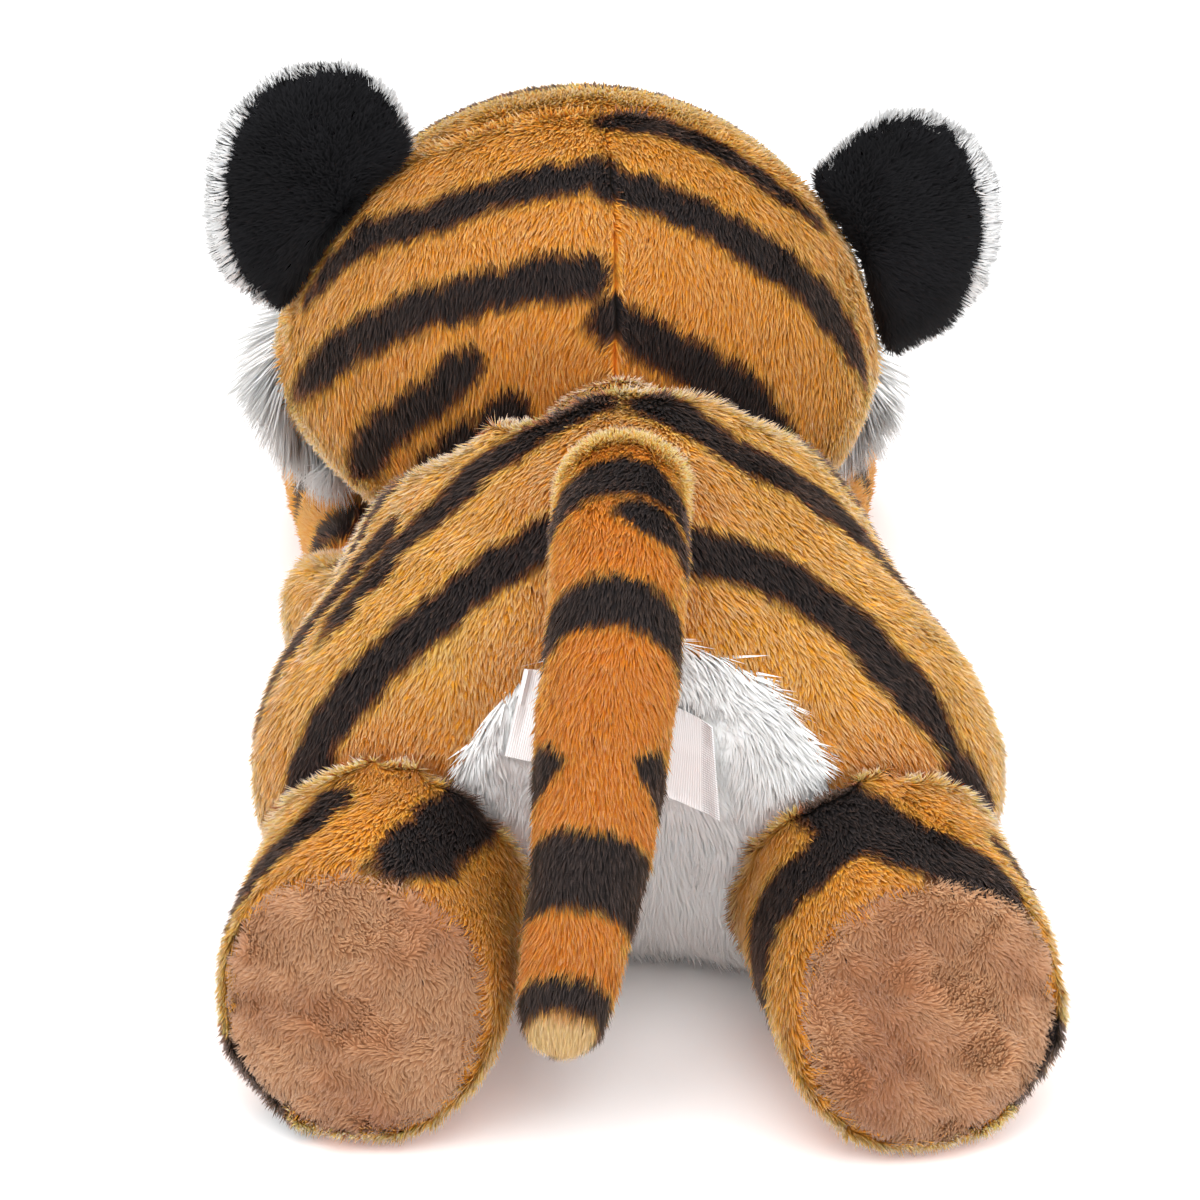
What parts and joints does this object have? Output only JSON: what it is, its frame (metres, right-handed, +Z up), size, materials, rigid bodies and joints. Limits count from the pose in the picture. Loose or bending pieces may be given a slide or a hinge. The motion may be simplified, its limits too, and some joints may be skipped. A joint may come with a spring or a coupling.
{
  "type": "stuffed tiger",
  "caption": "Bean-bag plush tiger lying on its belly, with a turning head, swinging legs, folding ears and a lifting tail.",
  "frame": {"origin": "on the floor under the middle of the body, where the belly rests", "axes": "+Z up, +Y from the head towards the tail, +X to the side that is on the left in the picture"},
  "size_m": [0.2023, 0.3226, 0.1711],
  "materials": {
    "striped_plush": "deep orange pile with black stripes and light tips",
    "white_plush": "long soft white pile",
    "black_plush": "short black pile",
    "sole_plush": "short brushed tan pile",
    "fibre_filling": "loose polyester fibre",
    "pellet_pouch": "thin woven pouch full of plastic pellets",
    "satin_label": "bare white satin",
    "eye_plastic": "glossy amber with a dark pupil",
    "nose_plastic": "glossy moulded nose",
    "washer_plastic": "moulded push-on washer",
    "sewing_cord": "waxed sewing cord"
  },
  "bodies": {
    "torso": {"back_panel_left": "striped_plush", "back_panel_right": "striped_plush", "belly_panel": "white_plush", "body_filling": "fibre_filling", "belly_pellet_pouch": "pellet_pouch", "sewn_label": "satin_label"},
    "neck": {"neck_gathering_cord": "sewing_cord"},
    "head": {"head_panel_left": "striped_plush", "head_panel_right": "striped_plush", "forehead_panel": "striped_plush", "cheek_left": "white_plush", "cheek_right": "white_plush", "chin_panel": "white_plush", "head_filling": "fibre_filling", "eye_left": "eye_plastic", "eye_right": "eye_plastic", "eye_washer_left": "washer_plastic", "eye_washer_right": "washer_plastic", "muzzle": "white_plush", "nose": "nose_plastic"},
    "ear_left": {"ear_back_left": "black_plush", "ear_lining_left": "white_plush"},
    "ear_right": {"ear_back_right": "black_plush", "ear_lining_right": "white_plush"},
    "hind_leg_left": {"hind_leg_left_cover": "striped_plush", "hind_leg_left_sole": "sole_plush", "hind_leg_left_pellet_pouch": "pellet_pouch", "hind_leg_left_filling": "fibre_filling"},
    "hind_leg_right": {"hind_leg_right_cover": "striped_plush", "hind_leg_right_sole": "sole_plush", "hind_leg_right_pellet_pouch": "pellet_pouch", "hind_leg_right_filling": "fibre_filling"},
    "front_leg_left": {"front_leg_left_cover": "striped_plush", "front_leg_left_sole": "sole_plush", "front_leg_left_pellet_pouch": "pellet_pouch", "front_leg_left_filling": "fibre_filling"},
    "front_leg_right": {"front_leg_right_cover": "striped_plush", "front_leg_right_sole": "sole_plush", "front_leg_right_pellet_pouch": "pellet_pouch", "front_leg_right_filling": "fibre_filling"},
    "tail": {"tail_cover": "striped_plush", "tail_filling": "fibre_filling"}
  },
  "joints": [
    {"name": "head_turn", "type": "hinge", "parent": "torso", "child": "neck", "pos_m": [0.005, -0.014, 0.092], "axis": [0, 0, 1], "range_deg": [-7, 7]},
    {"name": "head_nod", "type": "hinge", "parent": "neck", "child": "head", "pos_m": [0.005, -0.014, 0.092], "axis": [-1, 0, 0], "range_deg": [0, 12]},
    {"name": "ear_left_fold", "type": "hinge", "parent": "head", "child": "ear_left", "pos_m": [0.07041, -0.0654, 0.12482], "axis": [0.6074, 0.038, -0.7935], "range_deg": [-16, 16], "stiffness_Nm_per_rad": 0.004},
    {"name": "ear_right_fold", "type": "hinge", "parent": "head", "child": "ear_right", "pos_m": [-0.06141, -0.07469, 0.10512], "axis": [0.3492, 0.0295, 0.9366], "range_deg": [-16, 16], "stiffness_Nm_per_rad": 0.004},
    {"name": "hind_leg_left_swing", "type": "hinge", "parent": "torso", "child": "hind_leg_left", "pos_m": [0.049, 0.06, 0.043], "axis": [0, 0, 1], "range_deg": [-16, 0]},
    {"name": "hind_leg_right_swing", "type": "hinge", "parent": "torso", "child": "hind_leg_right", "pos_m": [-0.043, 0.068, 0.043], "axis": [0, 0, 1], "range_deg": [-4, 16]},
    {"name": "front_leg_left_swing", "type": "hinge", "parent": "torso", "child": "front_leg_left", "pos_m": [0.06, -0.024, 0.024], "axis": [0, 0, 1], "range_deg": [-3, 10]},
    {"name": "front_leg_right_swing", "type": "hinge", "parent": "torso", "child": "front_leg_right", "pos_m": [-0.042, -0.024, 0.024], "axis": [0, 0, 1], "range_deg": [-10, 3]},
    {"name": "tail_lift", "type": "hinge", "parent": "torso", "child": "tail", "pos_m": [0.001, 0.03, 0.094], "axis": [1, 0, 0], "range_deg": [0, 55]}
  ]
}
